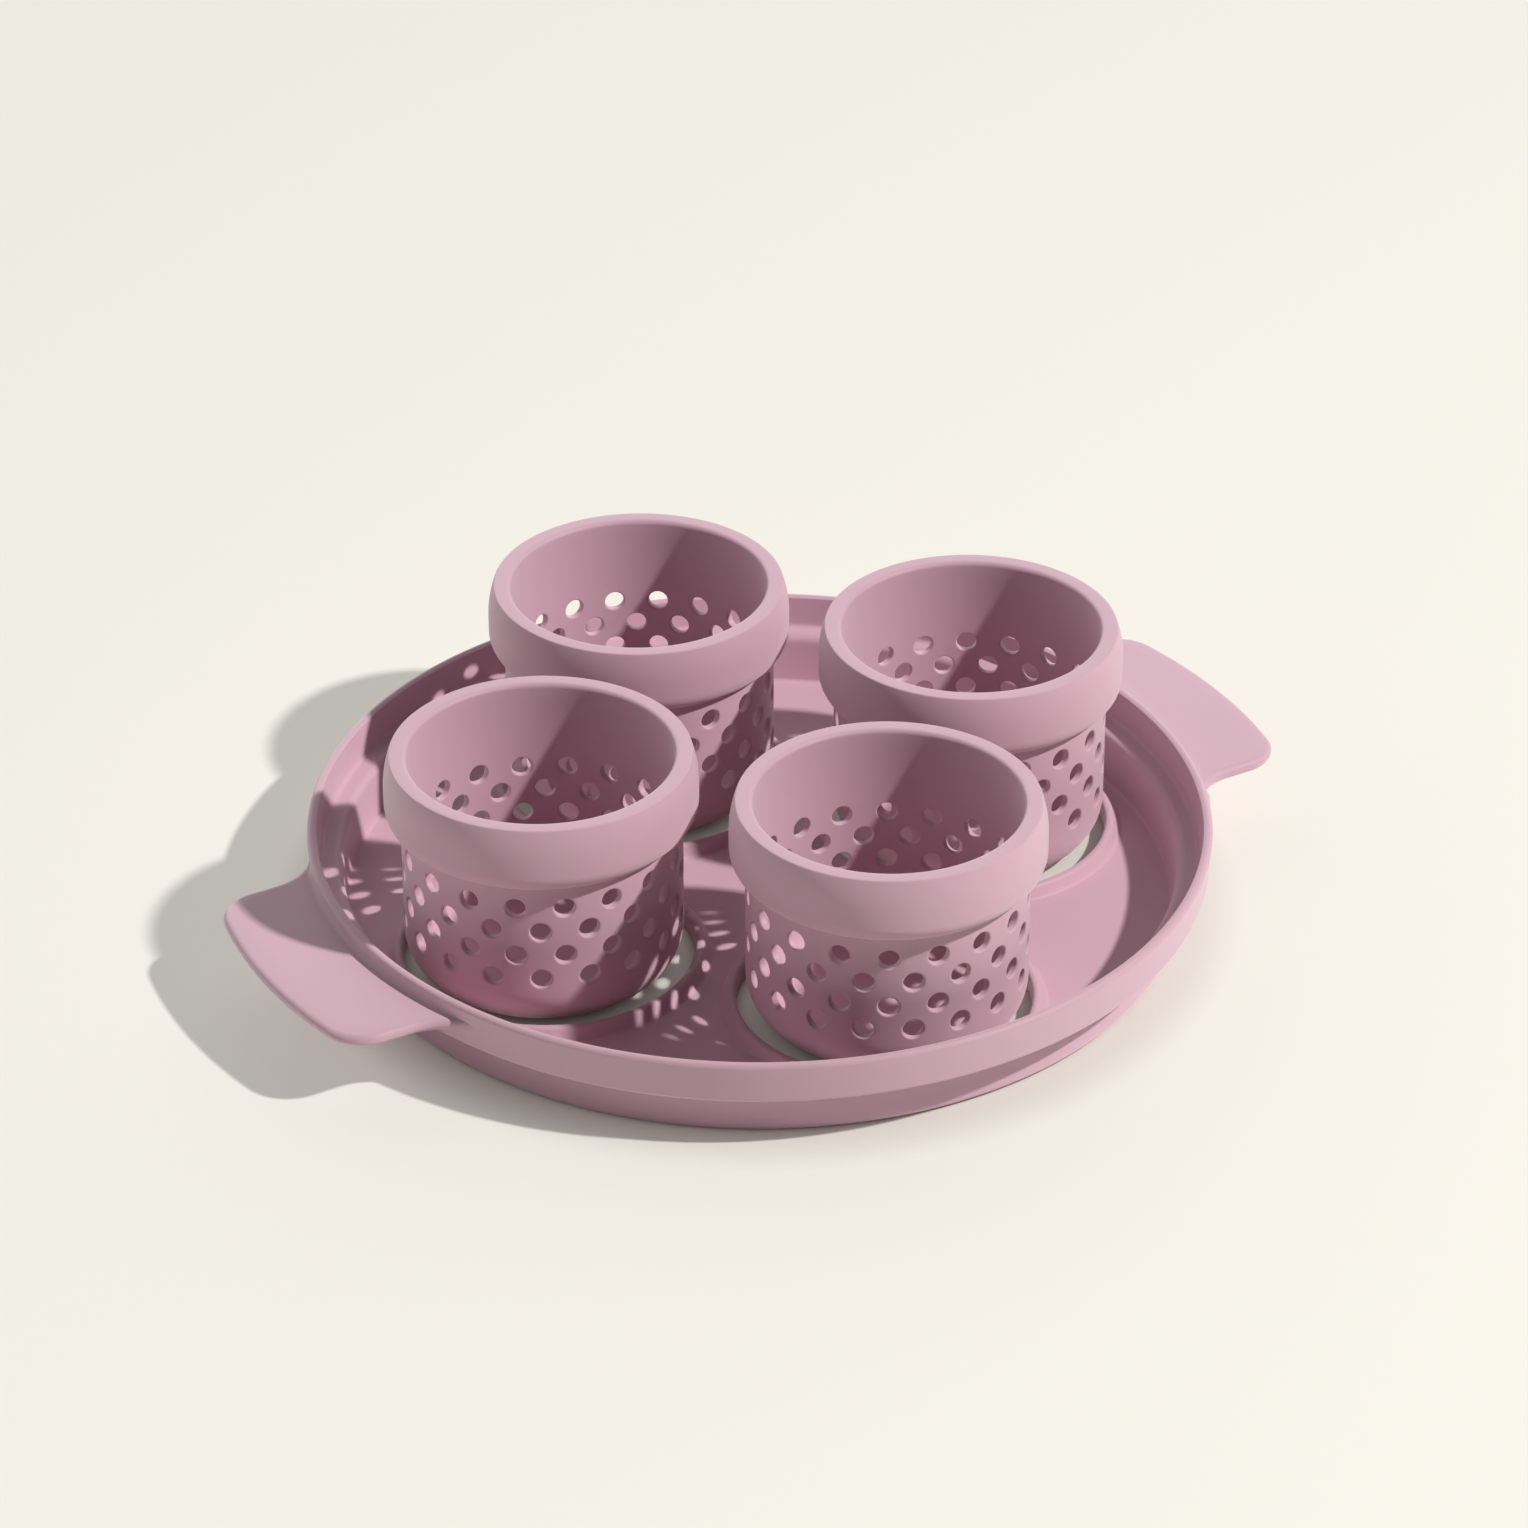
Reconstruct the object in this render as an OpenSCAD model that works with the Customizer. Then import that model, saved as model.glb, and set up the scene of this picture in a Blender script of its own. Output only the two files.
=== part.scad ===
// Egg poacher insert: a round stepped silicone tray with two handle tabs and four seat rings,
// and four perforated silicone cups standing in the tray's holes.
// Millimetres, +Z up, origin on the resting plane under the middle of the tray.
// The handles point along X. The cups stand on the axes: left, front, back and right.

/* [Cup] */
// overall height of a cup
cup_height = 72.1; // [66:0.1:80]
// outside diameter of the perforated body of a cup
cup_body_d = 82.4; // [74:0.2:90]
// wall thickness of the body of a cup
cup_wall = 2.3; // [1.8:0.1:4]
// outside rounding between the body and the base of a cup
cup_foot_r = 15; // [10:0.5:18]
// how far the collar stands out past the edge of its hole
collar_overlap = 2.7; // [2:0.1:5]
// height of the collar
collar_height = 21; // [18:0.1:24]
// rounding under the collar, where it sits on the seat ring
collar_seat_r = 6; // [3:0.1:7]
// height over which the collar's side curves inwards to the top
collar_curve_h = 10.1; // [6:0.1:10.5]
// radius of that curve
collar_curve_r = 29; // [24:1:60]
// rounding of the collar's outer top edge
collar_top_r = 0.5; // [0.3:0.1:1.2]
// rounding of the mouth's inner edge
mouth_r = 1.4; // [0.6:0.1:1.8]

/* [Perforations] */
// diameter of one perforation
hole_d = 6; // [4:0.1:7]
// perforations in one row
holes_per_row = 18; // [12:1:20]
// rows of perforations
hole_rows = 4; // [3:1:4]
// height of the lowest row above the base
first_row_z = 20.3; // [18:0.1:21.5]
// height from one row to the next
row_pitch = 7.95; // [7.2:0.05:8.4]
// turn of the pattern in the left cup, degrees
turn_left = 10.7; // [0:0.1:20]
// turn of the pattern in the front cup, degrees
turn_front = 19.2; // [0:0.1:20]
// turn of the pattern in the back cup, degrees
turn_back = 12.3; // [0:0.1:20]
// turn of the pattern in the right cup, degrees
turn_right = 19.6; // [0:0.1:20]

/* [Tray] */
// free space round a cup's body when it stands in the middle of its hole
hole_clearance = 2; // [1:0.1:3]
// share of that space by which each cup stands outward of the middle
cup_off_middle = 0.75; // [0:0.05:0.8]
// thickness of the tray's floor
floor_t = 2.4; // [2:0.1:4]
// thickness of the tray's lower wall at the floor
wall_t = 2.4; // [2:0.1:3]
// how far the inside of the lower wall leans outwards from the floor up to the ledge
wall_lean = 1.1; // [0.2:0.1:1.2]
// hollow rounding between the floor and the lower wall
floor_edge_r = 1.2; // [0.6:0.1:2]
// height of the underside of the ledge that rests on a pan's rim
ledge_z = 15.5; // [12:0.1:17]
// thickness of the ledge
ledge_t = 2.6; // [2:0.1:3.2]
// hollow rounding between the ledge and the band
ledge_root_r = 1.5; // [0.8:0.1:2.4]
// rounding of the ledge's inner edge
ledge_edge_r = 2.5; // [1:0.1:3]
// width of the ledge inside the tray
ledge_w = 7.5; // [5:0.1:10]
// overall height of the tray
tray_height = 28.6; // [27:0.1:36]
// thickness of the upper band
band_t = 2.9; // [2.4:0.1:3.5]
// how far the inside of the band leans outwards from the ledge up to the lip
band_lean = 0.9; // [0.2:0.1:1]
// how far the band has widened outwards by the time it reaches the lip
lip_out = 0.75; // [0.3:0.05:1.4]
// rounding of the lip's crest
lip_crest_r = 1.4; // [1:0.05:1.5]
// rounding of the lip's inner edge
lip_edge_r = 0.45; // [0.2:0.05:0.6]
// slope of the lip's top down to its inner edge, degrees
lip_slope = 24; // [5:1:35]
// rounding of the lower outside edge of the band
skirt_r = 1.3; // [0.8:0.1:1.8]
// rounding of the tray's foot outside
foot_r = 3; // [2:0.1:5]
// flat floor left between a seat ring and the lower wall
floor_margin = 4.4; // [4:0.1:12]

/* [Seat rings] */
// width of the raised ring round a hole
ring_w = 4.4; // [3.6:0.1:6]
// height of the ring's crest above the table
ring_height = 6.1; // [5:0.1:8]
// rounding of the ring's crest
ring_crest_r = 1.5; // [1:0.1:1.7]
// space left between neighbouring rings
ring_gap = 6.6; // [3:0.1:14]

/* [Handles] */
// how far a handle reaches past the band
handle_reach = 30.2; // [20:0.1:45]
// width of a handle
handle_w = 87; // [60:0.1:110]
// thickness of a handle
handle_t = 3.7; // [3:0.1:5]
// height of a handle's top face
handle_top_z = 24.1; // [21:0.1:24.6]
// rounding of a handle's outer corners
handle_corner_r = 13; // [6:0.5:16]
// hollow rounding where a handle's sides meet the band
handle_root_r = 18; // [6:0.5:20]
// hollow rounding where a handle's top meets the band
handle_top_r = 2; // [1:0.1:2.6]

/* [Display] */
// node to build

/* [Hidden] */
$fn = 96;
overcut = 1;
body_r = cup_body_d / 2;
cavity_r = body_r - cup_wall;
opening_r = body_r + hole_clearance;
collar_r = opening_r + collar_overlap;
collar_z = cup_height - collar_height;
ring_r = opening_r + ring_w;
seat_circle_r = (2 * ring_r + ring_gap) / sqrt(2);
lower_in_r = seat_circle_r + ring_r + floor_margin;
lower_out_r = lower_in_r + wall_t;
ledge_top_z = ledge_z + ledge_t;
band_in_r = lower_in_r + ledge_w;
band_out_r = band_in_r + band_t;
lip_out_r = band_out_r + lip_out;
skirt_z = ledge_z + skirt_r;
crest = [lip_out_r - lip_crest_r, tray_height - lip_crest_r];
lip_up = [-sin(lip_slope), cos(lip_slope)];
lip_down = [-cos(lip_slope), -sin(lip_slope)];
wall_tilt = atan(wall_lean / (ledge_top_z - floor_t));
band_tilt = atan(band_lean / (tray_height - ledge_top_z));
lip_start = crest + (lip_crest_r - lip_edge_r) * lip_up;
lip_run = (lip_start[0] - hollow_r(band_in_r, ledge_top_z, band_tilt, lip_start[1])
    - lip_edge_r / cos(band_tilt)) / (cos(lip_slope) - tan(band_tilt) * sin(lip_slope));
lip_edge = lip_start + lip_run * lip_down;
ledge_edge = [
    hollow_r(lower_in_r, floor_t, wall_tilt, ledge_top_z - ledge_edge_r)
        + ledge_edge_r / cos(wall_tilt),
    ledge_top_z - ledge_edge_r
];
cup_circle_r = seat_circle_r + hole_clearance * cup_off_middle;
handle_out_r = band_out_r + handle_reach;
handle_mid_r = (band_in_r + band_out_r) / 2;
silicone = [0.80, 0.63, 0.69];

// Square from one corner to the other, in the radius and height plane.
module slab(r0, z0, r1, z1) {
    translate([r0, z0]) square([r1 - r0, z1 - z0]);
}

// Round spot in the radius and height plane.
module spot(r, z, size) {
    translate([r, z]) circle(size);
}

// Radius at a height of a hollow's side that leans outwards by tilt from its base.
function hollow_r(base_r, base_z, tilt, z) = base_r + (z - base_z) * tan(tilt);

// Outer radius of the band at a height: it widens evenly from its lower edge to the lip.
function face_r(z) = band_out_r + lip_out * (z - skirt_z) / (crest[1] - skirt_z);

// Outside of a cup before its cavity is taken out.
module cup_outside() {
    curve_z = cup_height - collar_curve_h;
    curve_mid_r = collar_r - collar_curve_r;
    top_z = cup_height - collar_top_r;
    tilt = asin((top_z - curve_z) / (collar_curve_r - collar_top_r));
    top_mid_r = curve_mid_r + (collar_curve_r - collar_top_r) * cos(tilt);
    slab(0, 0, body_r - cup_foot_r, cup_foot_r);
    intersection() {
        spot(body_r - cup_foot_r, cup_foot_r, cup_foot_r);
        slab(0, 0, body_r, cup_foot_r);
    }
    slab(0, cup_foot_r, body_r, cup_height - mouth_r);
    slab(0, collar_z, collar_r - collar_seat_r, cup_height);
    slab(0, collar_z + collar_seat_r, collar_r, curve_z);
    spot(collar_r - collar_seat_r, collar_z + collar_seat_r, collar_seat_r);
    intersection() {
        spot(curve_mid_r, curve_z, collar_curve_r);
        slab(0, curve_z, collar_r, top_z + collar_top_r * sin(tilt));
    }
    slab(0, curve_z, top_mid_r, cup_height);
    spot(top_mid_r, top_z, collar_top_r);
}

// Cavity of a cup, with the rounded inner edge of its mouth.
module cup_inside() {
    inner_r = cup_foot_r - cup_wall;
    mouth_z = cup_height - mouth_r;
    slab(0, cup_foot_r, cavity_r, cup_height + overcut);
    slab(0, cup_wall, cavity_r - inner_r, cup_foot_r + overcut);
    intersection() {
        spot(cavity_r - inner_r, cup_foot_r, inner_r);
        slab(0, 0, cavity_r, cup_foot_r + overcut);
    }
    difference() {
        slab(cavity_r - overcut, mouth_z, cavity_r + mouth_r, cup_height + overcut);
        spot(cavity_r + mouth_r, mouth_z, mouth_r);
    }
}

// One perforated cup; turn is the angle of its hole pattern.
module cup(turn) {
    step_angle = 360 / holes_per_row;
    bore_l = cup_wall + 2 * overcut;
    difference() {
        rotate_extrude() difference() {
            cup_outside();
            cup_inside();
        }
        for (row = [0 : hole_rows - 1], k = [0 : holes_per_row - 1]) {
            row_turn = ((hole_rows - 1 - row) % 2) * step_angle / 2;
            rotate([0, 0, turn + row_turn + k * step_angle])
                translate([cavity_r - overcut, 0, first_row_z + row * row_pitch])
                    rotate([0, 90, 0])
                        cylinder(d = hole_d, h = bore_l, $fn = 24);
        }
    }
}

// Outside of the tray, from the foot to the sloping top of the lip.
module tray_outside() {
    inward = crest + lip_crest_r * lip_up + (lip_run + lip_crest_r) * lip_down;
    slab(0, 0, lower_out_r - foot_r, ledge_top_z);
    slab(0, foot_r, lower_out_r, ledge_top_z);
    intersection() {
        spot(lower_out_r - foot_r, foot_r, foot_r);
        slab(0, 0, lower_out_r, foot_r);
    }
    slab(0, ledge_z, band_out_r - skirt_r, skirt_z);
    spot(band_out_r - skirt_r, skirt_z, skirt_r);
    spot(crest[0], crest[1], lip_crest_r);
    polygon([
        [0, skirt_z],
        [band_out_r, skirt_z],
        [lip_out_r, crest[1]],
        crest,
        crest + lip_crest_r * lip_up,
        inward,
        [0, inward[1]]
    ]);
}

// Hollow with a rounded root and a side that leans outwards, up to a height.
module hollow(base_r, base_z, tilt, root_r, top_z) {
    mid_z = base_z + root_r;
    mid_r = hollow_r(base_r, base_z, tilt, mid_z) - root_r / cos(tilt);
    spot(mid_r, mid_z, root_r);
    polygon([
        [0, base_z],
        [mid_r, base_z],
        [mid_r + root_r * cos(tilt), mid_z - root_r * sin(tilt)],
        [hollow_r(base_r, base_z, tilt, top_z), top_z],
        [0, top_z]
    ]);
}

// Cut that rounds a solid corner: middle is the round's, first and last its two directions.
module rounding(middle, size, first, last) {
    difference() {
        polygon([
            middle + size * first,
            middle + (size + overcut) * first,
            middle + (size + overcut) * (first + last),
            middle + (size + overcut) * last,
            middle + size * last
        ]);
        spot(middle[0], middle[1], size);
    }
}

// Hollow of the tray, stepped by the ledge, with the ledge's and the lip's inner edges rounded.
module tray_inside() {
    hollow(lower_in_r, floor_t, wall_tilt, floor_edge_r, ledge_top_z + overcut);
    hollow(band_in_r, ledge_top_z, band_tilt, ledge_root_r, tray_height + overcut);
    rounding(ledge_edge, ledge_edge_r, [-cos(wall_tilt), sin(wall_tilt)], [0, 1]);
    rounding(lip_edge, lip_edge_r, [-cos(band_tilt), sin(band_tilt)], lip_up);
}

// Raised ring round one hole: upright bore side, round crest, sloping outer side.
module ring_section() {
    crest_r = opening_r + ring_crest_r;
    crest_z = ring_height - ring_crest_r;
    slab(opening_r, 0, crest_r, crest_z);
    spot(crest_r, crest_z, ring_crest_r);
    polygon([
        [opening_r, floor_t / 2],
        [ring_r, floor_t / 2],
        [ring_r, floor_t],
        [crest_r + ring_crest_r, crest_z],
        [opening_r, crest_z]
    ]);
}

// Plan of one handle: straight sides, rounded corners, an outer edge concentric with the tray.
module handle_plan() {
    half_w = handle_w / 2;
    corner_y = half_w - handle_corner_r;
    corner_x = sqrt(pow(handle_out_r - handle_corner_r, 2) - pow(corner_y, 2));
    root_y = half_w + handle_root_r;
    side_r = face_r(handle_top_z - handle_t);
    root_x = sqrt(pow(side_r + handle_root_r, 2) - pow(root_y, 2));
    reach = side_r / (side_r + handle_root_r);
    translate([0, -half_w]) square([corner_x, handle_w]);
    for (side = [-1, 1])
        translate([corner_x, side * corner_y]) circle(handle_corner_r);
    intersection() {
        circle(handle_out_r, $fn = 240);
        polygon([
            [0, 0],
            [2 * corner_x, -2 * corner_y],
            [2 * corner_x, 2 * corner_y]
        ]);
    }
    for (side = [-1, 1]) difference() {
        polygon([
            [root_x, side * (half_w - overcut)],
            [root_x, side * root_y],
            [root_x * reach, side * root_y * reach],
            [root_x * reach * reach, side * root_y * reach * reach],
            [root_x * reach * reach, side * (half_w - overcut)]
        ]);
        translate([root_x, side * root_y]) circle(handle_root_r);
    }
}

// Section of a handle from the band to its full-round outer edge.
module handle_section() {
    half_t = handle_t / 2;
    side_r = face_r(handle_top_z);
    slab(handle_mid_r, handle_top_z - handle_t, handle_out_r - half_t, handle_top_z);
    spot(handle_out_r - half_t, handle_top_z - half_t, half_t);
    difference() {
        slab(handle_mid_r, handle_top_z - overcut,
             side_r + handle_top_r, handle_top_z + handle_top_r);
        spot(side_r + handle_top_r, handle_top_z + handle_top_r, handle_top_r);
    }
}

// One handle pointing along +X.
module handle() {
    intersection() {
        rotate_extrude($fn = 240) handle_section();
        translate([0, 0, handle_top_z - handle_t - overcut])
            linear_extrude(handle_t + handle_top_r + 2 * overcut) handle_plan();
    }
}

// Stepped tray with its lip, seat rings, holes and two handles.
module tray() {
    color(silicone) difference() {
        union() {
            rotate_extrude($fn = 240) difference() {
                tray_outside();
                tray_inside();
            }
            for (k = [0 : 3]) rotate([0, 0, 90 * k]) translate([seat_circle_r, 0, 0])
                rotate_extrude() ring_section();
            for (side = [0, 180]) rotate([0, 0, side]) handle();
        }
        for (k = [0 : 3]) rotate([0, 0, 90 * k])
            translate([seat_circle_r, 0, -overcut])
                cylinder(r = opening_r, h = ring_height + 2 * overcut);
    }
}

// Cup on the left, in front of the left handle.
module cup_left() {
    color(silicone) translate([-cup_circle_r, 0, 0]) cup(turn_left);
}

// Cup at the front.
module cup_front() {
    color(silicone) translate([0, -cup_circle_r, 0]) cup(turn_front);
}

// Cup at the back.
module cup_back() {
    color(silicone) translate([0, cup_circle_r, 0]) cup(turn_back);
}

// Cup on the right, in front of the right handle.
module cup_right() {
    color(silicone) translate([cup_circle_r, 0, 0]) cup(turn_right);
}

tray();
cup_left();
cup_front();
cup_back();
cup_right();
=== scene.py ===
import math

import bpy
import numpy as np
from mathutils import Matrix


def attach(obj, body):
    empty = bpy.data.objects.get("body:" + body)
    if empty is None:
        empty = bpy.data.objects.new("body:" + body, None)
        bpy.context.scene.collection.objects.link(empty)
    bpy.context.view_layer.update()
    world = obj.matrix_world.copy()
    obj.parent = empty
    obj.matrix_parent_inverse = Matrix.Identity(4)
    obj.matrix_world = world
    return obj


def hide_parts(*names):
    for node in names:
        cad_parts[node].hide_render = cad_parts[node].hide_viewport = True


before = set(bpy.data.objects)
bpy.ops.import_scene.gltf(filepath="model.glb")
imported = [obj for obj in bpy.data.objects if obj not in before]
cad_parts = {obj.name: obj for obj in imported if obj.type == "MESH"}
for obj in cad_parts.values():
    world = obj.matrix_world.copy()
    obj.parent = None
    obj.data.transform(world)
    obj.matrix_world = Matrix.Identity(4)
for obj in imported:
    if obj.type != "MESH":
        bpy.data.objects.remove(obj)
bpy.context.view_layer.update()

# The tray, one silicone moulding: a flat floor, a lower wall that drops inside a pan's rim,
# a ledge that rests on the rim, an upper band whose lip slopes inwards, four raised seat rings
# round the holes for the cups, and two handle tabs. It is made here as one closed skin.

# The holes, and the seat ring round each.
OPENING_R = 43.2
RING_WIDTH = 4.4
RING_GAP = 6.6
RING_TOP_Z = 6.1
RING_CREST_R = 1.5
RING_CREST_FLAT = 0.15
RING_SHOULDER_R = 1.55
RING_SHOULDER_START = 28
RING_ROOT_R = 1.4
RING_ROOT_OUT = 1.0
RING_ROOT_END = 212
BORE_EDGE_R = 0.5
RING_R = OPENING_R + RING_WIDTH
HOLE_CIRCLE = (2 * RING_R + RING_GAP) / math.sqrt(2)
# The floor and the lower wall, whose inside leans outwards by WALL_LEAN over its height.
FLOOR_Z = 2.4
FLOOR_MARGIN = 4.4
FLOOR_EDGE_R = 1.2
WALL_T = 2.4
WALL_LEAN = 1.1
FOOT_R = 3.0
LOWER_IN_R = HOLE_CIRCLE + RING_R + FLOOR_MARGIN
LOWER_OUT_R = LOWER_IN_R + WALL_T
# The ledge, with a rounded edge over the wall and a hollow root at the band's foot.
LEDGE_W = 7.5
LEDGE_UNDER_Z = 15.5
LEDGE_Z = 18.1
LEDGE_UNDER_R = 0.6
LEDGE_ROOT_R = 1.5
LEDGE_EDGE_R = 2.5
# The upper band and its lip: the outside widens by LIP_SPREAD, the inside by BAND_LEAN.
BAND_T = 2.9
BAND_LEAN = 0.9
SKIRT_R = 1.3
LIP_SPREAD = 0.75
TRAY_HEIGHT = 28.6
CREST_R = 1.4
LIP_EDGE_R = 0.45
LIP_SLOPE = 24
BAND_IN_R = LOWER_IN_R + LEDGE_W
BAND_OUT_R = BAND_IN_R + BAND_T
LIP_OUT_R = BAND_OUT_R + LIP_SPREAD
# The handles, each a flat tab with a full-round edge. The band's plain rows stop below it, at
# BELOW_HANDLE_Z, and go on above it, from ABOVE_HANDLE_Z.
HANDLE_REACH = 30.2
HANDLE_HALF_W = 43.5
HANDLE_TOP_Z = 24.1
HANDLE_HALF_T = 1.85
HANDLE_CORNER_R = 13.0
HANDLE_ROOT_R = 18.0
HANDLE_TOP_R = 2.0
HANDLE_FADE = 0.8
BELOW_HANDLE_Z = 18.6
ABOVE_HANDLE_Z = 26.5
HANDLE_OUT_R = BAND_OUT_R + HANDLE_REACH
# The mesh: steps along a quarter's straight side, the rows of the floor and of the underside
# as shares of the way from a hole, and the cells in which points become one.
SPOKE_STEPS = 30
FLOOR_SHARES = (1, 0.72, 0.46, 0.24, 0.09)
UNDER_SHARES = (0.12, 0.35, 0.65, 1)
WELD_STEP = 0.002
WELD_SHIFT = 0.2713
PINK_TONE = (0.555, 0.338, 0.42)


def arc(centre_r, centre_z, size, start, end, steps):
    """Circle arc in the radius and height plane: the centre plus size times (cos a, sin a),
    with a going evenly from start to end, in degrees."""
    a = np.radians(np.linspace(start, end, steps + 1))
    return np.stack([centre_r + size * np.cos(a), centre_z + size * np.sin(a)], axis=1)


def line(start, end, steps):
    """Straight run from start to end in even steps, both ends kept."""
    t = np.linspace(0, 1, steps + 1)[:, None]
    return np.asarray(start, float) * (1 - t) + np.asarray(end, float) * t


def skin(name, patches, material):
    """One closed mesh from patches of points, each an array of rows by columns by 3 in
    millimetres. Each four neighbouring points make a face that looks along the direction
    across the columns times the direction down the rows. Points that fall into the same
    tiny cell of a grid become one point, so the seams and poles close."""
    points, faces, first = [], [], 0
    for patch in patches:
        rows, columns = patch.shape[:2]
        number = first + np.arange(rows * columns).reshape(rows, columns)
        faces.append(np.stack([number[:-1, :-1], number[:-1, 1:], number[1:, 1:], number[1:, :-1]],
                              axis=-1).reshape(-1, 4))
        points.append(patch.reshape(-1, 3))
        first += rows * columns
    points, faces = np.concatenate(points), np.concatenate(faces)
    cells = np.floor(points / WELD_STEP + WELD_SHIFT).astype(np.int64)
    cells, seen, number = np.unique(cells, axis=0, return_index=True, return_inverse=True)
    points, faces = points[seen] / 1000, number.reshape(-1)[faces]
    apart = faces != np.roll(faces, -1, axis=1)
    faces, apart = faces[apart.sum(axis=1) >= 3], apart[apart.sum(axis=1) >= 3]
    corners = faces[apart]
    sizes = apart.sum(axis=1)
    starts = np.concatenate([[0], np.cumsum(sizes)[:-1]])
    mesh = bpy.data.meshes.new(name)
    mesh.vertices.add(len(points))
    mesh.vertices.foreach_set("co", points.astype(np.float32).ravel())
    mesh.loops.add(len(corners))
    mesh.loops.foreach_set("vertex_index", corners.astype(np.int32))
    mesh.polygons.add(len(sizes))
    mesh.polygons.foreach_set("loop_start", starts.astype(np.int32))
    mesh.polygons.foreach_set("use_smooth", np.ones(len(sizes), dtype=bool))
    mesh.update(calc_edges=True)
    mesh.validate()
    piece = bpy.data.objects.new(name, mesh)
    bpy.context.scene.collection.objects.link(piece)
    piece.data.materials.append(material)
    return piece


def silicone(name, tone):
    """Matte moulded silicone: a dusty pink that drifts slightly from place to place, a satin
    roughness with a fine grain, and the faint bump that a blasted mould leaves."""
    material = bpy.data.materials.new(name)
    material.use_nodes = True
    nodes, links = material.node_tree.nodes, material.node_tree.links
    shader = nodes["Principled BSDF"]
    shader.inputs["Specular IOR Level"].default_value = 0.5
    shader.inputs["IOR"].default_value = 1.41
    shader.inputs["Sheen Weight"].default_value = 0.5
    shader.inputs["Sheen Roughness"].default_value = 0.6
    shader.inputs["Sheen Tint"].default_value = (1.0, 0.9, 0.94, 1.0)
    place = nodes.new("ShaderNodeTexCoord")
    drift = nodes.new("ShaderNodeTexNoise")
    drift.inputs["Scale"].default_value = 14.0
    drift.inputs["Detail"].default_value = 2.0
    colour = nodes.new("ShaderNodeValToRGB")
    colour.color_ramp.elements[0].position = 0.3
    colour.color_ramp.elements[0].color = (tone[0] * 0.99, tone[1] * 0.985, tone[2] * 0.985, 1)
    colour.color_ramp.elements[1].position = 0.7
    colour.color_ramp.elements[1].color = (tone[0] * 1.01, tone[1] * 1.015, tone[2] * 1.015, 1)
    grain = nodes.new("ShaderNodeTexNoise")
    grain.inputs["Scale"].default_value = 2600.0
    grain.inputs["Detail"].default_value = 3.0
    rough = nodes.new("ShaderNodeMapRange")
    rough.inputs["To Min"].default_value = 0.50
    rough.inputs["To Max"].default_value = 0.60
    bump = nodes.new("ShaderNodeBump")
    bump.inputs["Strength"].default_value = 0.12
    bump.inputs["Distance"].default_value = 0.00008
    links.new(place.outputs["Object"], drift.inputs["Vector"])
    links.new(place.outputs["Object"], grain.inputs["Vector"])
    links.new(drift.outputs["Fac"], colour.inputs["Fac"])
    links.new(colour.outputs["Color"], shader.inputs["Base Color"])
    links.new(grain.outputs["Fac"], rough.inputs["Value"])
    links.new(rough.outputs["Result"], shader.inputs["Roughness"])
    links.new(grain.outputs["Fac"], bump.inputs["Height"])
    links.new(bump.outputs["Normal"], shader.inputs["Normal"])
    return material


def revolve(profile, angles):
    """Rows by columns by 3: each profile point (r, z) goes to (r cos t, r sin t, z) for each
    angle t in radians."""
    r, z = profile[:, :1], profile[:, 1:]
    return np.stack([r * np.cos(angles), r * np.sin(angles), z + 0 * angles], axis=-1)


def face(z):
    """Outer radius of the upper band at a height: it widens evenly from skirt to crest."""
    low, high = LEDGE_UNDER_Z + SKIRT_R, TRAY_HEIGHT - CREST_R
    return BAND_OUT_R + (LIP_OUT_R - BAND_OUT_R) * np.clip((z - low) / (high - low), 0, 1)


def hollow_root(base_r, base_z, lean, size):
    """Middle of the round that joins a level face at base_z to a hollow's side, which starts at
    base_r and leans outwards: the round touches both."""
    return np.array([base_r + size * math.tan(lean) - size / math.cos(lean), base_z + size])


def handle_edge():
    """Half of a handle's plan from its root on the band to its middle, as points, outward
    directions and how far each point lies past the band: a hollow arc tangent to the band,
    a straight side, a corner arc and an outer arc about the tray's own middle."""
    band_r = face(HANDLE_TOP_Z - HANDLE_HALF_T)
    root_y = HANDLE_HALF_W + HANDLE_ROOT_R
    root_x = math.sqrt((band_r + HANDLE_ROOT_R) ** 2 - root_y ** 2)
    corner_y = HANDLE_HALF_W - HANDLE_CORNER_R
    corner_x = math.sqrt((HANDLE_OUT_R - HANDLE_CORNER_R) ** 2 - corner_y ** 2)
    turn = math.degrees(math.atan2(root_y, root_x))
    end = math.degrees(math.atan2(corner_y, corner_x))
    hollow = arc(root_x, root_y, HANDLE_ROOT_R, 180 + turn, 270, 14)
    side = line((root_x, HANDLE_HALF_W), (corner_x, HANDLE_HALF_W), 5)[1:]
    corner = arc(corner_x, corner_y, HANDLE_CORNER_R, 90, end, 12)[1:]
    outer = arc(0, 0, HANDLE_OUT_R, end, 0, 12)[1:]
    out = np.concatenate([
        (np.array([root_x, root_y]) - hollow) / HANDLE_ROOT_R,
        np.tile([0.0, 1.0], (len(side), 1)),
        (corner - [corner_x, corner_y]) / HANDLE_CORNER_R,
        outer / HANDLE_OUT_R,
    ])
    edge = np.concatenate([hollow, side, corner, outer])
    return edge, out, np.hypot(edge[:, 0], edge[:, 1]) - band_r


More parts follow.
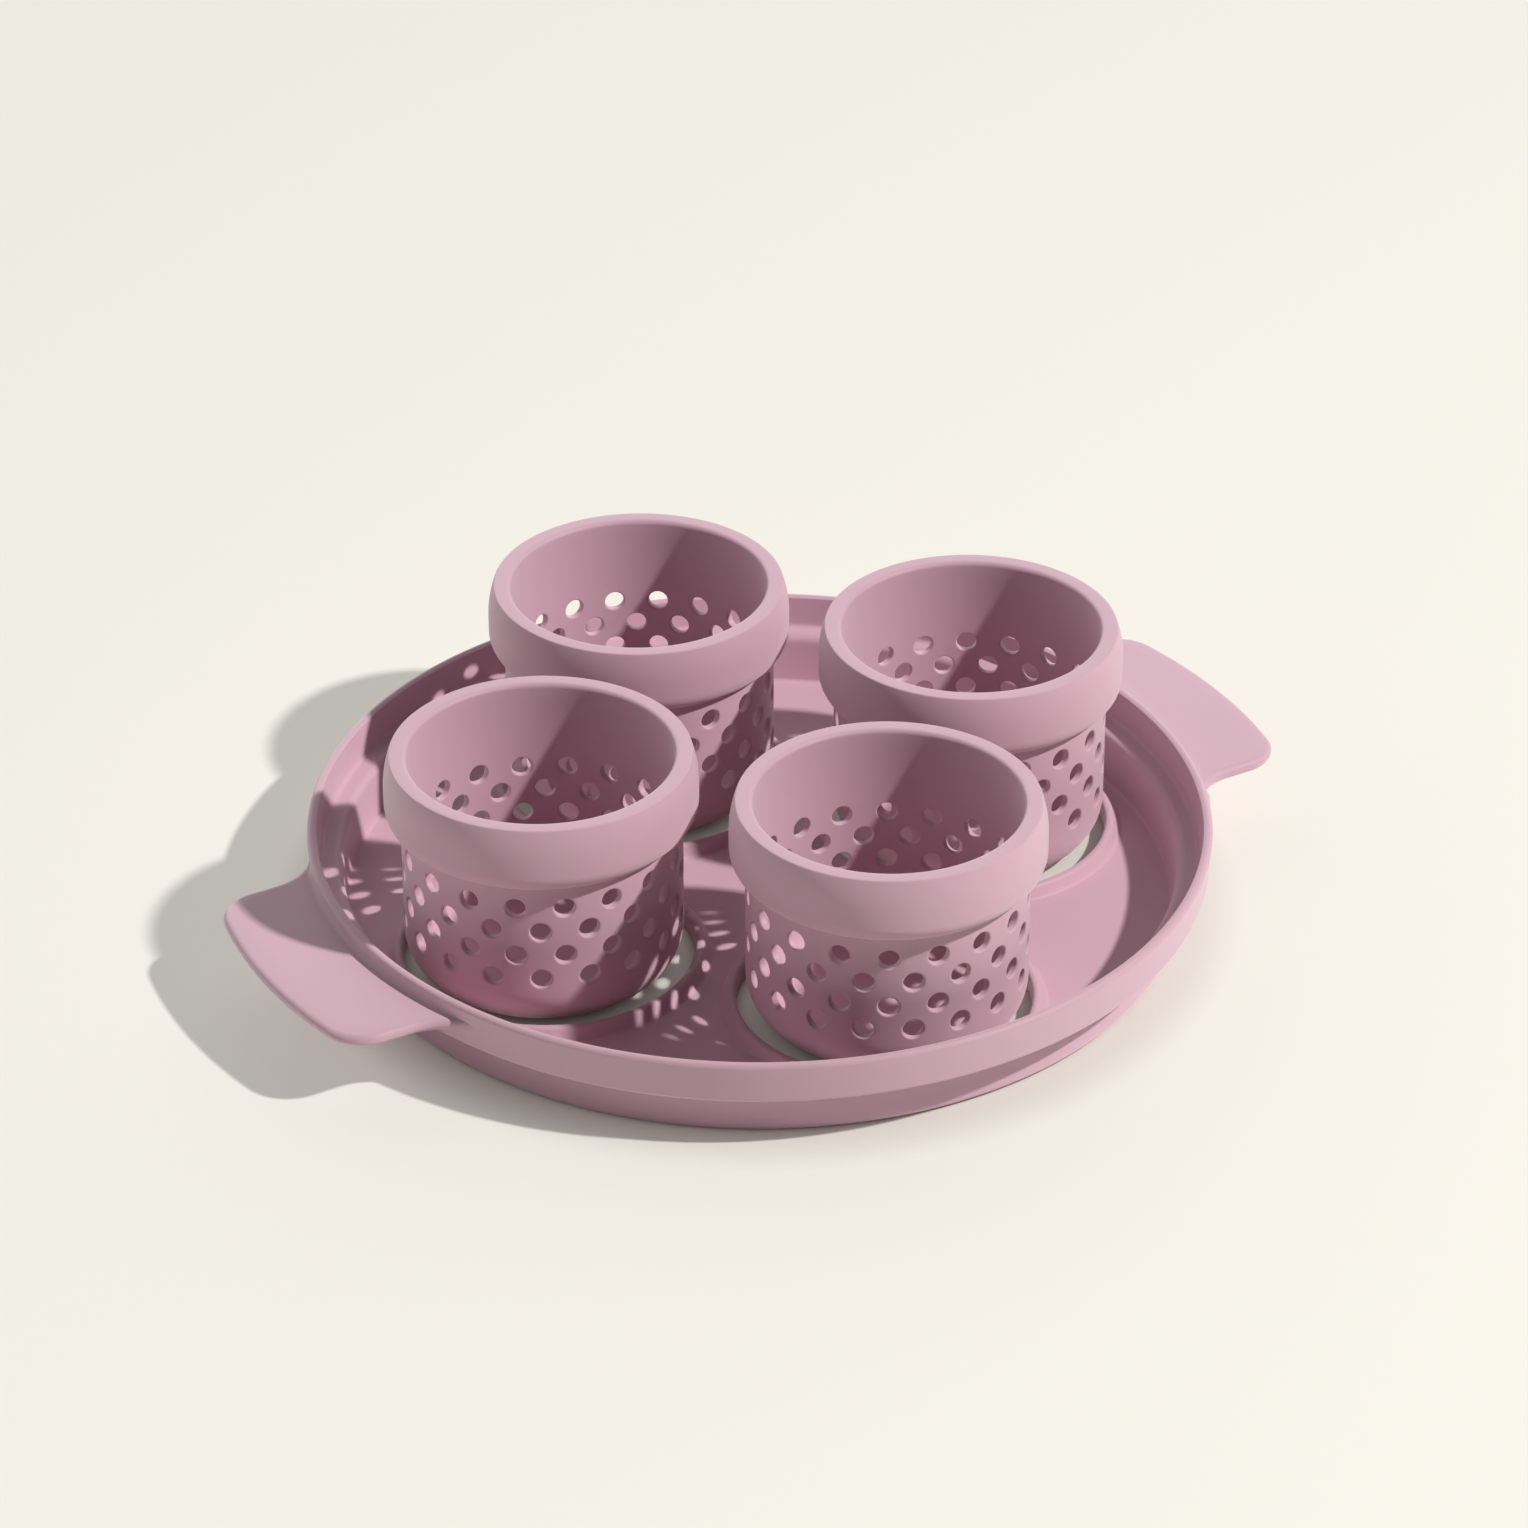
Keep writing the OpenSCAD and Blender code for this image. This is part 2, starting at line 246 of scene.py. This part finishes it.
def handle_rows():
    """Rows of the wall where a handle grows out of it, for half of its plan: along the
    underside, round the full-round edge, back over the top and up a hollow arc to the band.
    Where the plan runs into the band the rows fade back onto the band's own face."""
    edge, out, past = handle_edge()
    round_in = HANDLE_HALF_T * np.tanh(past / HANDLE_HALF_T)
    inset = edge - out * round_in[:, None]
    turn = np.arctan2(inset[:, 1], inset[:, 0])
    toward = np.stack([np.cos(turn), np.sin(turn)], axis=1)
    far = np.hypot(inset[:, 0], inset[:, 1])
    hollow = HANDLE_TOP_R * np.tanh(np.maximum(far - face(HANDLE_TOP_Z), 0) / HANDLE_TOP_R)
    under_z = HANDLE_TOP_Z - 2 * HANDLE_HALF_T
    rows = []
    for t in np.linspace(0, 1, 4):
        rows.append(np.column_stack([toward * (face(under_z) * (1 - t) + t * far)[:, None],
                                     0 * turn + under_z]))
    for a in np.radians(np.linspace(-90, 90, 11))[1:]:
        rows.append(np.column_stack([inset + out * (round_in * math.cos(a))[:, None],
                                     0 * turn + under_z + HANDLE_HALF_T * (1 + math.sin(a))]))
    for t in np.linspace(1, 0, 5)[1:]:
        root = face(HANDLE_TOP_Z) + hollow
        rows.append(np.column_stack([toward * (root * (1 - t) + t * far)[:, None],
                                     0 * turn + HANDLE_TOP_Z]))
    for a in np.radians(np.linspace(-90, -180, 7))[1:]:
        height = HANDLE_TOP_Z + hollow * (1 + math.sin(a))
        rows.append(np.column_stack([toward * (face(height) + hollow * (1 + math.cos(a)))[:, None],
                                     height]))
    rows = np.array(rows)
    height = np.linspace(under_z, HANDLE_TOP_Z + HANDLE_TOP_R, len(rows))
    plain = np.stack([face(height)[:, None] * toward[:, 0], face(height)[:, None] * toward[:, 1],
                      np.broadcast_to(height[:, None], rows.shape[:2])], axis=-1)
    grown = np.clip(past / HANDLE_FADE, 0, 1)
    blend = grown ** 2 * (3 - 2 * grown)
    return turn, plain * (1 - blend[:, None]) + rows * blend[:, None]


under_rows = np.concatenate([
    arc(LOWER_OUT_R - FOOT_R, FOOT_R, FOOT_R, -90, 0, 10),
    line((LOWER_OUT_R, FOOT_R), (LOWER_OUT_R, LEDGE_UNDER_Z - LEDGE_UNDER_R), 5)[1:],
    arc(LOWER_OUT_R + LEDGE_UNDER_R, LEDGE_UNDER_Z - LEDGE_UNDER_R, LEDGE_UNDER_R, 180, 90, 4)[1:],
    line((LOWER_OUT_R + LEDGE_UNDER_R, LEDGE_UNDER_Z), (BAND_OUT_R - SKIRT_R, LEDGE_UNDER_Z), 3)[1:],
    arc(BAND_OUT_R - SKIRT_R, LEDGE_UNDER_Z + SKIRT_R, SKIRT_R, -90, 0, 9)[1:],
    [[face(BELOW_HANDLE_Z), BELOW_HANDLE_Z]],
])
crest = np.array([LIP_OUT_R - CREST_R, TRAY_HEIGHT - CREST_R])
slope = math.radians(LIP_SLOPE)
upward = np.array([-math.sin(slope), math.cos(slope)])
inward = -np.array([math.cos(slope), math.sin(slope)])
band_lean = math.atan(BAND_LEAN / (TRAY_HEIGHT - LEDGE_Z))
wall_lean = math.atan(WALL_LEAN / (LEDGE_Z - FLOOR_Z))
# The lip's inner edge is a small round. Its middle slides down the slope from the crest until
# the round touches the band's leaning inside.
rim = crest + (CREST_R - LIP_EDGE_R) * upward
touch_r = BAND_IN_R + (rim[1] - LEDGE_Z) * math.tan(band_lean) + LIP_EDGE_R / math.cos(band_lean)
rim = rim + inward * (rim[0] - touch_r) / (math.cos(slope) - math.tan(band_lean) * math.sin(slope))
band_root = hollow_root(BAND_IN_R, LEDGE_Z, band_lean, LEDGE_ROOT_R)
wall_root = hollow_root(LOWER_IN_R, FLOOR_Z, wall_lean, FLOOR_EDGE_R)
edge_z = LEDGE_Z - LEDGE_EDGE_R
edge_r = LOWER_IN_R + (edge_z - FLOOR_Z) * math.tan(wall_lean) + LEDGE_EDGE_R / math.cos(wall_lean)
lip_rows = np.concatenate([
    line((face(ABOVE_HANDLE_Z), ABOVE_HANDLE_Z), (LIP_OUT_R, crest[1]), 3),
    arc(*crest, CREST_R, 0, 90 + LIP_SLOPE, 16)[1:],
    line(crest + CREST_R * upward, rim + LIP_EDGE_R * upward, 3)[1:],
    arc(*rim, LIP_EDGE_R, 90 + LIP_SLOPE, 180 - math.degrees(band_lean), 6)[1:],
    arc(*band_root, LEDGE_ROOT_R, -math.degrees(band_lean), -90, 8),
    arc(edge_r, edge_z, LEDGE_EDGE_R, 90, 180 - math.degrees(wall_lean), 10),
    arc(*wall_root, FLOOR_EDGE_R, -math.degrees(wall_lean), -90, 8),
])
tab_turn, tab = handle_rows()
plain_turn = np.radians(np.linspace(45, math.degrees(tab_turn[0]), 22))[:-1]
handle_turns = np.concatenate([plain_turn, tab_turn])
handle_turns = np.concatenate([-handle_turns, handle_turns[-2::-1]])
band_z = np.linspace(HANDLE_TOP_Z - 2 * HANDLE_HALF_T, HANDLE_TOP_Z + HANDLE_TOP_R, len(tab))
band_rows = np.stack([face(band_z), band_z], axis=1)
tab_full = np.concatenate([revolve(band_rows, plain_turn), tab], axis=1)
tab_half = tab_full[:, -2::-1]
tab_full = np.concatenate([tab_full * [1, -1, 1], tab_half], axis=1)
side_turns = np.radians(np.linspace(-45, 45, 91))


def wall(turns, middle):
    """A quarter of the tray's wall: under_rows and lip_rows carried round the tray by the
    given angles, with the given middle rows between them."""
    return np.concatenate([revolve(under_rows, turns), middle, revolve(lip_rows, turns)])


def ring_quarter(turns):
    """A quarter of the floor round one hole. The outline of the quarter is two diagonals from
    the tray's middle and an arc between them. Each of its points is joined to the hole's
    circle by a straight line, in on top, over the seat ring, down the bore and out below."""
    spoke = np.linspace(0, 1, SPOKE_STEPS + 1)

    def outline(size):
        """The quarter's outline at the given radius, once round against the clock."""
        start = np.outer(spoke[:-1] * size, [math.cos(math.pi / 4), -math.sin(math.pi / 4)])
        middle = size * np.stack([np.cos(turns), np.sin(turns)], axis=1)
        return np.concatenate([start, middle, (start * [1, -1])[::-1]])

    above = outline(wall_root[0])
    below = outline(LOWER_OUT_R - FOOT_R)
    ray = above - [HOLE_CIRCLE, 0]
    ray = ray / np.hypot(ray[:, 0], ray[:, 1])[:, None]
    crest_r, crest_z = OPENING_R + RING_CREST_R, RING_TOP_Z - RING_CREST_R
    section = np.concatenate([
        arc(RING_R + RING_ROOT_OUT, FLOOR_Z + RING_ROOT_R, RING_ROOT_R, 270, RING_ROOT_END, 6),
        arc(crest_r + RING_CREST_FLAT, RING_TOP_Z - RING_SHOULDER_R, RING_SHOULDER_R,
            RING_SHOULDER_START, 90, 8),
        arc(crest_r, crest_z, RING_CREST_R, 90, 180, 9),
        line((OPENING_R, crest_z), (OPENING_R, BORE_EDGE_R), 3)[1:],
        arc(OPENING_R + BORE_EDGE_R, BORE_EDGE_R, BORE_EDGE_R, 180, 270, 4)[1:],
    ])
    circle = np.stack([HOLE_CIRCLE + section[:, :1] * ray[:, 0], section[:, :1] * ray[:, 1],
                       section[:, 1:] + 0 * ray[:, 0]], axis=-1)
    t = np.array(FLOOR_SHARES)[:, None, None]
    top = np.column_stack([above, 0 * ray[:, 0] + FLOOR_Z]) * t + circle[0] * (1 - t)
    t = np.array(UNDER_SHARES)[:, None, None]
    low = np.column_stack([below, 0 * ray[:, 0]]) * t + circle[-1] * (1 - t)
    return np.concatenate([top, circle, low])


def turned(patch, degrees):
    """The patch turned about the tray's upright axis: x goes to x cos a - y sin a, and y to
    x sin a + y cos a."""
    c, s = math.cos(math.radians(degrees)), math.sin(math.radians(degrees))
    return patch @ np.array([[c, s, 0], [-s, c, 0], [0, 0, 1]])


side_band = revolve(band_rows, side_turns)
quarters = []
for quarter in range(4):
    turns, middle = (side_turns, side_band) if quarter % 2 else (handle_turns, tab_full)
    quarters.append(turned(wall(turns, middle), 90 * quarter))
    quarters.append(turned(ring_quarter(turns), 90 * quarter))
pink = silicone("dusty_pink_silicone", PINK_TONE)
tray = skin("tray_moulding", quarters, pink)
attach(tray, "tray")
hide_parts("tray")

# The four egg cups, each one silicone moulding with a rounded foot, a body with four
# staggered rows of holes that let the hot water in, and a thick rounded collar that hangs
# on the tray's seat ring. The holes' edges are rounded, as the moulding pins leave them.

# The body and the foot, whose inside keeps the wall's thickness.
CUP_HEIGHT = 72.1
CUP_CLEARANCE = 2.0
CUP_WALL = 2.3
CUP_FOOT_R = 15.0
BODY_R = OPENING_R - CUP_CLEARANCE
CAVITY_R = BODY_R - CUP_WALL
# The collar: a hollow root, a round seat, an upright side, a wide bulging arc and the mouth.
COLLAR_OVERHANG = 2.7
COLLAR_DEPTH = 21.0
COLLAR_ROOT_R = 0.7
SEAT_R = 6.0
BULGE_R = 29.0
BULGE_DEPTH = 10.1
SHOULDER_R = 0.5
MOUTH_R = 1.4
COLLAR_R = OPENING_R + COLLAR_OVERHANG
COLLAR_Z = CUP_HEIGHT - COLLAR_DEPTH
BULGE_Z = CUP_HEIGHT - BULGE_DEPTH
# The holes, and the mesh of the wall round each: steps across and up a cell's outline, and
# rows as shares of the way from the hole's edge.
HOLE_R = 3.0
EDGE_R = 0.6
INNER_EDGE_R = 0.45
HOLES_ROUND = 18
ROWS = 4
FIRST_ROW_Z = 20.3
ROW_PITCH = 7.95
ROW_Z = [FIRST_ROW_Z + ROW_PITCH * row for row in range(ROWS)]
ACROSS = 10
UP = 6
WALL_SHARES = (1, 0.6, 0.28, 0.08)
# Each cup's node, the turn of its holes in degrees, and its place. The cups stand a little
# outward of the middles of the tray's holes.
CUP_OFF_MIDDLE = 1.5
CUP_CIRCLE = HOLE_CIRCLE + CUP_OFF_MIDDLE
CUPS = (
    ("cup_left", 10.7, (-CUP_CIRCLE, 0)),
    ("cup_front", 19.2, (0, -CUP_CIRCLE)),
    ("cup_back", 12.3, (0, CUP_CIRCLE)),
    ("cup_right", 19.6, (CUP_CIRCLE, 0)),
)


def cup_cell(row_z, middle):
    """The piece of wall round one hole: from its four-sided outline on the outside, in to the
    hole's circle, over the rounded edge, through the bore, over the inner edge and out to the
    same outline on the inside. A point at (x, z) of the hole lies sqrt(R^2 - x^2) out."""
    half_turn = math.pi / HOLES_ROUND
    side = np.linspace(-1, 1, UP + 1)[:-1]
    top = np.linspace(1, -1, ACROSS + 1)[:-1]
    outline_turn = np.concatenate([np.ones(UP), top, -np.ones(UP), -top, [1.0]]) * half_turn
    outline_z = np.concatenate([side, np.ones(ACROSS), -side, -np.ones(ACROSS), [-1.0]]) * ROW_PITCH / 2
    count = 2 * (UP + ACROSS)
    turn = np.radians(np.arange(count + 1) * 360 / count - 180 * UP / count)

    def on_wall(wall_r, hole_r, t):
        """Points of the wall's cylinder between the hole's circle (t 0) and the outline (t 1)."""
        angle = (1 - t) * np.arcsin(hole_r * np.cos(turn) / wall_r) + t * outline_turn
        height = (1 - t) * hole_r * np.sin(turn) + t * outline_z
        return np.stack([wall_r * np.cos(angle), wall_r * np.sin(angle), row_z + height], axis=-1)

    def in_bore(wall_r, hole_r, depth):
        """Points round the bore at a radius, and at a depth from the wall's cylinder."""
        x, z = hole_r * np.cos(turn), row_z + hole_r * np.sin(turn)
        return np.stack([np.sqrt(wall_r ** 2 - x ** 2) + depth, x, z], axis=-1)

    rows = [on_wall(BODY_R, HOLE_R + EDGE_R, t) for t in WALL_SHARES]
    for a in np.radians(np.linspace(0, 90, 6)):
        rows.append(in_bore(BODY_R, HOLE_R + EDGE_R * (1 - math.sin(a)), -EDGE_R * (1 - math.cos(a))))
    for a in np.radians(np.linspace(90, 0, 5)):
        rows.append(in_bore(CAVITY_R, HOLE_R + INNER_EDGE_R * (1 - math.sin(a)),
                            INNER_EDGE_R * (1 - math.cos(a))))
    rows += [on_wall(CAVITY_R, HOLE_R + INNER_EDGE_R, t) for t in WALL_SHARES[::-1]]
    cell = np.array(rows)
    c, s = math.cos(middle), math.sin(middle)
    return cell @ np.array([[c, s, 0], [-s, c, 0], [0, 0, 1]])


def cup_patches(turn, centre):
    """All of one cup's patches: the foot and base outside, the perforated cells, the collar
    and mouth, and the foot and base inside."""
    low, high = ROW_Z[0] - ROW_PITCH / 2, ROW_Z[-1] + ROW_PITCH / 2
    round_turns = turn + np.radians(np.linspace(0, 360, HOLES_ROUND * ACROSS + 1))
    inner_foot = CUP_FOOT_R - CUP_WALL
    seat_mid = COLLAR_R - SEAT_R
    meet = math.degrees(math.acos((BODY_R + COLLAR_ROOT_R - seat_mid) / (SEAT_R + COLLAR_ROOT_R)))
    outside = np.concatenate([
        line((0, 0), (BODY_R - CUP_FOOT_R, 0), 6),
        arc(BODY_R - CUP_FOOT_R, CUP_FOOT_R, CUP_FOOT_R, -90, 0, 20)[1:],
        [[BODY_R, low]],
    ])
    root_z = COLLAR_Z + SEAT_R - (SEAT_R + COLLAR_ROOT_R) * math.sin(math.radians(meet))
    bulge_mid = COLLAR_R - BULGE_R
    tip_z = CUP_HEIGHT - SHOULDER_R
    tip = math.asin((tip_z - BULGE_Z) / (BULGE_R - SHOULDER_R))
    tip_mid = bulge_mid + (BULGE_R - SHOULDER_R) * math.cos(tip)
    collar = np.concatenate([
        line((BODY_R, high), (BODY_R, root_z), 2),
        arc(BODY_R + COLLAR_ROOT_R, root_z, COLLAR_ROOT_R, 180, 180 - meet, 5)[1:],
        arc(seat_mid, COLLAR_Z + SEAT_R, SEAT_R, -meet, 0, 14)[1:],
        line((COLLAR_R, COLLAR_Z + SEAT_R), (COLLAR_R, BULGE_Z), 2)[1:],
        arc(bulge_mid, BULGE_Z, BULGE_R, 0, math.degrees(tip), 10)[1:],
        arc(tip_mid, tip_z, SHOULDER_R, math.degrees(tip), 90, 6)[1:],
        line((tip_mid, CUP_HEIGHT), (CAVITY_R + MOUTH_R, CUP_HEIGHT), 3)[1:],
        arc(CAVITY_R + MOUTH_R, CUP_HEIGHT - MOUTH_R, MOUTH_R, 90, 180, 7)[1:],
        line((CAVITY_R, CUP_HEIGHT - MOUTH_R), (CAVITY_R, high), 6)[1:],
    ])
    inside = np.concatenate([
        [[CAVITY_R, low]],
        arc(CAVITY_R - inner_foot, CUP_FOOT_R, inner_foot, 0, -90, 14),
        line((CAVITY_R - inner_foot, CUP_WALL), (0, CUP_WALL), 4)[1:],
    ])
    patches = [revolve(part, round_turns) for part in (outside, collar, inside)]
    for row, row_z in enumerate(ROW_Z):
        first = turn + (math.pi / HOLES_ROUND if row % 2 == 0 else 0)
        for k in range(HOLES_ROUND):
            patches.append(cup_cell(row_z, first + 2 * math.pi * k / HOLES_ROUND))
    return [patch + [centre[0], centre[1], 0] for patch in patches]


for node, turn, centre in CUPS:
    cup = skin(node + "_moulding", cup_patches(math.radians(turn), centre), pink)
    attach(cup, node)
    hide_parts(node)

# The stage, none of it part of the object: a plain cream floor, one small key lamp near the
# object on its right, and a sky that glows softly near the horizon, on the left and behind.
# The cream that the camera sees holds a painted glow and painted contact shade near the object.
FLOOR_COLOUR = (0.92, 0.905, 0.885)
FLOOR_SEEN = (0.55, 0.537, 0.497)
FLOOR_GLOW = (0.305, 0.298, 0.277)
# How far from the object the painted contact shade on the floor reaches, in metres.
FLOOR_PAINTED_SHADE_REACH = 0.02
LAMP_PLACE = (1.287, -0.401, 1.415)
LAMP_SIZE = 0.042
LAMP_POWER = 42.5
LAMP_COLOUR = (1.0, 0.985, 0.96)
SKY_COLOUR = (1.0, 0.995, 0.985)
SKY_LEAST = 0.02
SKY_GLOWS = (((-1, 0, 0), 0.85), ((0, 1, 0), 1.7))
FLOOR_HALF = 6.0
VIEW_TURN = -30.2
away = math.radians(VIEW_TURN)


def in_frame(place):
    """A place beside the camera's line of sight, turned about the upright axis into the
    object's frame by the view's own turn."""
    x, y, z = place
    return (x * math.cos(away) - y * math.sin(away), x * math.sin(away) + y * math.cos(away), z)


def worked(tree, operation, *values):
    """The output of a Math node in the tree, whose inputs are numbers or other outputs."""
    node = tree.nodes.new("ShaderNodeMath")
    node.operation = operation
    for socket, value in zip(node.inputs, values):
        if isinstance(value, float):
            socket.default_value = value
        else:
            tree.links.new(value, socket)
    return node.outputs["Value"]


floor_mesh = bpy.data.meshes.new("floor")
floor_corners = [(x * FLOOR_HALF, y * FLOOR_HALF, 0) for x, y in ((-1, -1), (1, -1), (1, 1), (-1, 1))]
floor_mesh.from_pydata(floor_corners, [], [(0, 1, 2, 3)])
floor = bpy.data.objects.new("floor", floor_mesh)
bpy.context.scene.collection.objects.link(floor)
cream = bpy.data.materials.new("cream_floor")
cream.use_nodes = True
cream_shader = cream.node_tree.nodes["Principled BSDF"]
cream_shader.inputs["Roughness"].default_value = 0.9
cream_shader.inputs["Specular IOR Level"].default_value = 0.0
# Part of the cream that the camera and mirrors see is a painted glow, so that its open
# shadows stay pale. The glow fades where the object crowds the floor, and so paints a darker
# contact shade round and under the object.
cream_tree = cream.node_tree
ray = cream_tree.nodes.new("ShaderNodeLightPath")
mirrored = worked(cream_tree, "MAXIMUM", ray.outputs["Is Glossy Ray"], ray.outputs["Is Transmission Ray"])
seen = worked(cream_tree, "MAXIMUM", ray.outputs["Is Camera Ray"], mirrored)
shown = cream_tree.nodes.new("ShaderNodeMixRGB")
shown.inputs["Color1"].default_value = (*FLOOR_COLOUR, 1)
shown.inputs["Color2"].default_value = (*FLOOR_SEEN, 1)
painted_floor_shade = cream_tree.nodes.new("ShaderNodeAmbientOcclusion")
painted_floor_shade.samples = 8
painted_floor_shade.inputs["Distance"].default_value = FLOOR_PAINTED_SHADE_REACH
cream_shader.inputs["Emission Color"].default_value = (*FLOOR_GLOW, 1)
cream_tree.links.new(seen, shown.inputs["Fac"])
cream_tree.links.new(shown.outputs["Color"], cream_shader.inputs["Base Color"])
cream_tree.links.new(worked(cream_tree, "MULTIPLY", seen, painted_floor_shade.outputs["AO"]),
                     cream_shader.inputs["Emission Strength"])
floor_mesh.materials.append(cream)

key_data = bpy.data.lights.new("key", "POINT")
key_data.energy = LAMP_POWER
key_data.shadow_soft_size = LAMP_SIZE
key_data.color = LAMP_COLOUR
key_data.use_nodes = True
# The lamp's light is equally strong at every distance.
falloff = key_data.node_tree.nodes.new("ShaderNodeLightFalloff")
falloff.inputs["Strength"].default_value = 1.0
key_data.node_tree.links.new(falloff.outputs["Constant"],
                             key_data.node_tree.nodes["Emission"].inputs["Strength"])
key = bpy.data.objects.new("key", key_data)
key.location = in_frame(LAMP_PLACE)
bpy.context.scene.collection.objects.link(key)

world = bpy.data.worlds.new("sky")
world.use_nodes = True
sky = world.node_tree
direction = sky.nodes.new("ShaderNodeTexCoord")
strength = SKY_LEAST
for way, glow in SKY_GLOWS:
    facing = sky.nodes.new("ShaderNodeVectorMath")
    facing.operation = "DOT_PRODUCT"
    facing.inputs[1].default_value = in_frame(way)
    sky.links.new(direction.outputs["Generated"], facing.inputs[0])
    facing_it = worked(sky, "MAXIMUM", facing.outputs["Value"], 0.0)
    strength = worked(sky, "MULTIPLY_ADD", worked(sky, "POWER", facing_it, 2.0), glow, strength)
sky.links.new(strength, sky.nodes["Background"].inputs["Strength"])
sky.nodes["Background"].inputs["Color"].default_value = (*SKY_COLOUR, 1)
bpy.context.scene.world = world

# The camera, fitted to the rims, rings and hole rows of the photograph. Its focal length is
# written in the picture's own pixels.
CAMERA_PLACE = (0.001233, -1.487255, 0.939992)
CAMERA_DOWN = 31.017
FOCAL_PIXELS = 5836.87
PICTURE_PIXELS = 1528
SENSOR_WIDTH = 36.0
camera_data = bpy.data.cameras.new("camera")
camera_data.sensor_width = SENSOR_WIDTH
camera_data.lens = FOCAL_PIXELS / PICTURE_PIXELS * SENSOR_WIDTH
camera_data.clip_end = 20.0
camera = bpy.data.objects.new("camera", camera_data)
camera.location = in_frame(CAMERA_PLACE)
camera.rotation_euler = (math.radians(90 - CAMERA_DOWN), 0, away)
bpy.context.scene.collection.objects.link(camera)
bpy.context.scene.camera = camera
bpy.context.scene.view_settings.view_transform = "Standard"
